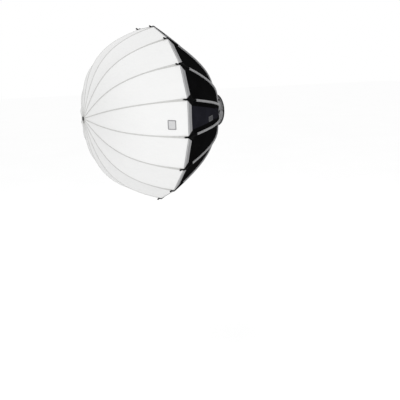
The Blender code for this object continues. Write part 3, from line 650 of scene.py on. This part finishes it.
def rim_bar(k):
    """The pale bars on the rim: stiff ends beside the corner, and lengths on to mid-gore."""
    share = np.array([0, 0.03, 0.09, 0.20, 0.45, 0.75, 0.88, 0.96, 1])
    s = BAND_S0 + (BAND_S1 - BAND_S0) * share
    rise = np.array([0.0002, BAND_FLAT, BAND_HEM, 0.0022, BAND_FLAT, BAND_FLAT, 0.0024, 0.0016, 0.0002])
    high = (CLOTH + rise)[:, None]
    start = BAND_END + BAND_SLANT * (s - BAND_S0)
    ends = Cloth()
    for side in (1, -1):
        u = np.linspace(0, 1, 4)
        x = side * (start[:, None] + across(SHELL_RIM_HALF - start, u))
        ends.grid(shell, x, lengthwise(s, len(u)), TAPE_GAP, high)
        x, t = fold_grid(shell, s, SHELL_RIM_HALF, side, 6)
        hand = "right" if side > 0 else "left"
        length = Cloth().grid(shell, x, t, TAPE_GAP, high).make(
            f"rim_bar_{hand}_{k + 1:02d}", ["band"], k)
        fold_to(length)
        finish_piece(length, body("rib", k), "rim_band")
    obj = ends.make(f"rim_bar_ends_{k + 1:02d}", ["band"], k)
    finish_piece(obj, body("rib", k), "rim_band")


def corner_pocket(k):
    """The black pocket over a rib's end, closed in a narrow cap past the corner."""
    near = CAP_TIP + 0.0005
    s = np.array([CAP_TIP, near, CAP_SHOULDER, -0.020, -0.013, -0.008, -0.004, 0.0, 0.006, 0.014, 0.026,
                  0.040, 0.052, 0.060, POCKET_END])
    half = profile(s, (CAP_TIP, 0.0022), (near, 0.0036), (CAP_SHOULDER, 0.0048), (-0.013, 0.0050),
                   (-0.008, 0.0052), (0.004, 0.0086), (0.046, POCKET_HALF), (0.055, POCKET_HALF),
                   (0.060, POCKET_HALF - 0.0025), (POCKET_END, POCKET_HALF - 0.0080))
    low = profile(s, (CAP_TIP, -0.0110), (near, -0.0130), (CAP_SHOULDER, -0.0145), (-0.013, -0.0150),
                  (-0.0085, -0.0150), (-0.006, 0.0004))
    high = profile(s, (CAP_TIP, -0.0080), (near, -0.0062), (CAP_SHOULDER, -0.0050), (-0.012, -0.0040),
                   (-0.002, 0.0026))
    u = rounded(SLEEVE_COLUMNS)
    x, t = across(half, u), lengthwise(s, SLEEVE_COLUMNS)
    fall = across(profile(s, (-0.010, 0.0022), (0.006, 0.0004)), np.abs(u) ** 3)
    obj = Cloth().grid(shell, x, t, low[:, None] + 0.5 * fall, high[:, None] - fall, raised=True).make(
        f"corner_pocket_{k + 1:02d}", ["pocket"], k)
    finish_piece(obj, body("rib", k), "rim_band")


def corner_sleeve(k):
    """The black end of a rod's sleeve, from the corner to where the grey tape begins."""
    s = np.concatenate([[-0.0070, -0.0062, -0.0040, 0.0], spaced(0.006, WEB_START - 0.006, 0.012),
                        [WEB_START + 0.004]])
    half = profile(s, (-0.0070, 0.0056), (-0.0040, 0.0068), (0.0100, WEB_HALF))
    proud = profile(s, (-0.0070, 0.0012), (-0.0062, 0.0035), (-0.0040, 0.0056),
                    (0.0040, WEB_PROUD - 0.0006))
    x, t, high = sleeve_grid(s, half, proud)
    obj = Cloth().grid(shell, x, t, GAP, high, raised=True).make(
        f"corner_sleeve_{k + 1:02d}", ["pocket"], k)
    finish_piece(obj, body("rib", k), "ridge_webbing")


def sewn_piece(name, ridge, near, size, lift, look, replaced, rider):
    """A blank label with rounded corners, near from the rib beside it."""
    k = LABEL_GORE + 1
    wide, long, start = size
    near_ends = np.array([0.90, 0.955, 0.985, 1])
    v = np.concatenate([-near_ends[::-1], np.linspace(-0.8, 0.8, 7), near_ends])
    into_corner = np.clip(LABEL_CORNER - (1 - np.abs(v)) * long, 0, LABEL_CORNER)
    inset = LABEL_CORNER - np.sqrt(LABEL_CORNER ** 2 - into_corner ** 2)
    middle = (-(near + wide), start + long)
    u = np.linspace(-1, 1, 9)
    x, t = middle[0] + across(wide - inset, u), lengthwise(middle[1] + v * long, len(u))
    obj = Cloth().grid(ridge, x, t, GAP, lift, middle=middle).make(name, [look], k)
    fold_to(obj)
    finish_piece(obj, body(rider, k), replaced)


def cap_loop():
    """The short cloth loop that hangs from the front cap."""
    half_turn = np.linspace(0, math.pi, 7)
    path = [(0.0, -0.0130), (0.0, -0.0200), (-0.0002, -0.0260)]
    path += [(-0.0002 - LOOP_TURN * (1 - math.cos(a)), -0.0290 - LOOP_TURN * math.sin(a))
             for a in half_turn]
    path += [(-0.0026, -0.0245), (-0.0022, -0.0185), (-0.0018, -0.0130)]
    path = np.array(path) + (POLE_Y - 0.0016, 0.0)
    way = np.gradient(path, axis=0)
    way /= np.linalg.norm(way, axis=1)[:, None]
    out = np.stack([-way[:, 1], way[:, 0]], 1) * LOOP_THICK / 2
    verts = [(x, *(p + n * h)) for p, n in zip(path, out) for h in (-1, 1)
             for x in (-LOOP_WIDE / 2, LOOP_WIDE / 2)]
    faces = []
    for a in range(0, 4 * (len(path) - 1), 4):
        b = a + 4
        faces += [[a, a + 1, b + 1, b], [a + 3, a + 2, b + 2, b + 3], [a + 2, a, b, b + 2],
                  [a + 1, a + 3, b + 3, b + 1]]
    last = 4 * len(path) - 4
    faces += [[0, 2, 3, 1], [last, last + 1, last + 3, last + 2]]
    mesh = bpy.data.meshes.new("cap_loop")
    mesh.from_pydata(verts, [], faces)
    layer = mesh.uv_layers.new(name="UVMap")
    row_pitch = 0.0026
    for loop in mesh.loops:
        across_x, row = verts[loop.vertex_index][0], loop.vertex_index // 4
        layer.data[loop.index].uv = (across_x, row_pitch * row)
    mesh.materials.append(LOOK["tape"])
    obj = bpy.data.objects.new("cap_loop", mesh)
    bpy.context.scene.collection.objects.link(obj)
    finish_piece(obj, "cap", "cap_tab")


for k in range(N_RIBS):
    petal("shell", shell, k, SHELL_BANDS, ["shell", "lining"])
    petal("dome", dome, k, DOME_BANDS, ["dome", "dome"])
    rod_sleeve(k)
    dome_tape(k)
    rim_bar(k)
    corner_pocket(k)
    corner_sleeve(k)
sewn_piece("rear_label", shell, REAR_PATCH_SIDE, REAR_PATCH, 0.0014, "patch", "rear_patch", "rib")
sewn_piece("front_label", dome, DOME_LABEL_SIDE, DOME_LABEL, 0.0010, "label", "dome_label", "dome_rod")
cap_loop()


# ------------------------------------------------------------------ finish on the CAD parts
NODE_LOOK = {
    "mount_plate": "plate", "bayonet_insert": "insert", "hub_body": "collar", "hub_cover": "collar",
    "hinge_wire": "steel", "bumper_ring": "rubber", "throat_ring": "throat",
    "lever_bracket": "plastic", "lever_pin": "steel", "button_bezel": "plastic",
    "release_lever": "lever", "lock_button": "button", "front_cap": "plastic",
}
GROUP_LOOK = {"rib_": "rod", "dome_rod_": "front_rod", "screw": "screw"}


def look_of(node_name):
    """The look of a CAD node by its name, or by its group's; None where a soft piece replaces it."""
    groups = (look for part, look in GROUP_LOOK.items() if part in node_name)
    return NODE_LOOK.get(node_name) or next(groups, None)


for name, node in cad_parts.items():
    if look_of(name):
        node.data.materials.clear()
        node.data.materials.append(LOOK[look_of(name)])


# ------------------------------------------------------------------ stage, light and camera
FLOOR_Z, FLOOR_HALF = -1.70, 60
LIT_MIDDLE = (0.0, -0.55, 0.0)                 # where both lights aim
EYE = Vector((3.94705, -2.22305, 0.27750))     # camera place, fitted to the photo
EYE_TURNS = (77.99715, 1.86689, 62.09749)      # its turns about X, Y and Z in that order, degrees


def stage_floor():
    """The pale floor under the softbox."""
    signs = ((-1, -1), (1, -1), (1, 1), (-1, 1))
    corners = [(x * FLOOR_HALF, y * FLOOR_HALF, FLOOR_Z) for x, y in signs]
    mesh = bpy.data.meshes.new("floor")
    mesh.from_pydata(corners, [], [(0, 1, 2, 3)])
    f = Finish("studio_floor", (0.98, 0.98, 0.98), 0.9, Specular_IOR_Level=0.0)
    base = f.blend(f.ramp(f.noise(0.8, 3), 0.3, 0.7), (0.976, 0.976, 0.976), (0.986, 0.986, 0.986))
    mesh.materials.append(f.wire(base))
    obj = bpy.data.objects.new("floor", mesh)
    bpy.context.scene.collection.objects.link(obj)


def soft_light(name, place, aim, size, power):
    light = bpy.data.lights.new(name, "AREA")
    light.shape, light.size, light.energy = "DISK", size, power
    obj = bpy.data.objects.new(name, light)
    bpy.context.scene.collection.objects.link(obj)
    obj.location = place
    obj.rotation_euler = (Vector(aim) - Vector(place)).to_track_quat("-Z", "Y").to_euler()


stage_floor()
soft_light("key", (5.1, -2.2, 0.7), LIT_MIDDLE, size=2.6, power=68)
soft_light("top", (-0.9, -1.9, 4.3), LIT_MIDDLE, size=4.0, power=30)

world = bpy.data.worlds.new("studio")
world.use_nodes = True
world.node_tree.nodes["Background"].inputs["Color"].default_value = (1, 1, 1, 1)
world.node_tree.nodes["Background"].inputs["Strength"].default_value = 1.0
bpy.context.scene.world = world
bpy.context.scene.view_settings.view_transform = "Standard"

camera = bpy.data.cameras.new("camera")
camera.lens, camera.sensor_width = 54.0, 36.0
camera.clip_start, camera.clip_end = 0.1, 200.0
eye = bpy.data.objects.new("camera", camera)
bpy.context.scene.collection.objects.link(eye)
eye.matrix_world = Matrix.LocRotScale(EYE, Euler([math.radians(a) for a in EYE_TURNS]), None)
bpy.context.scene.camera = eye
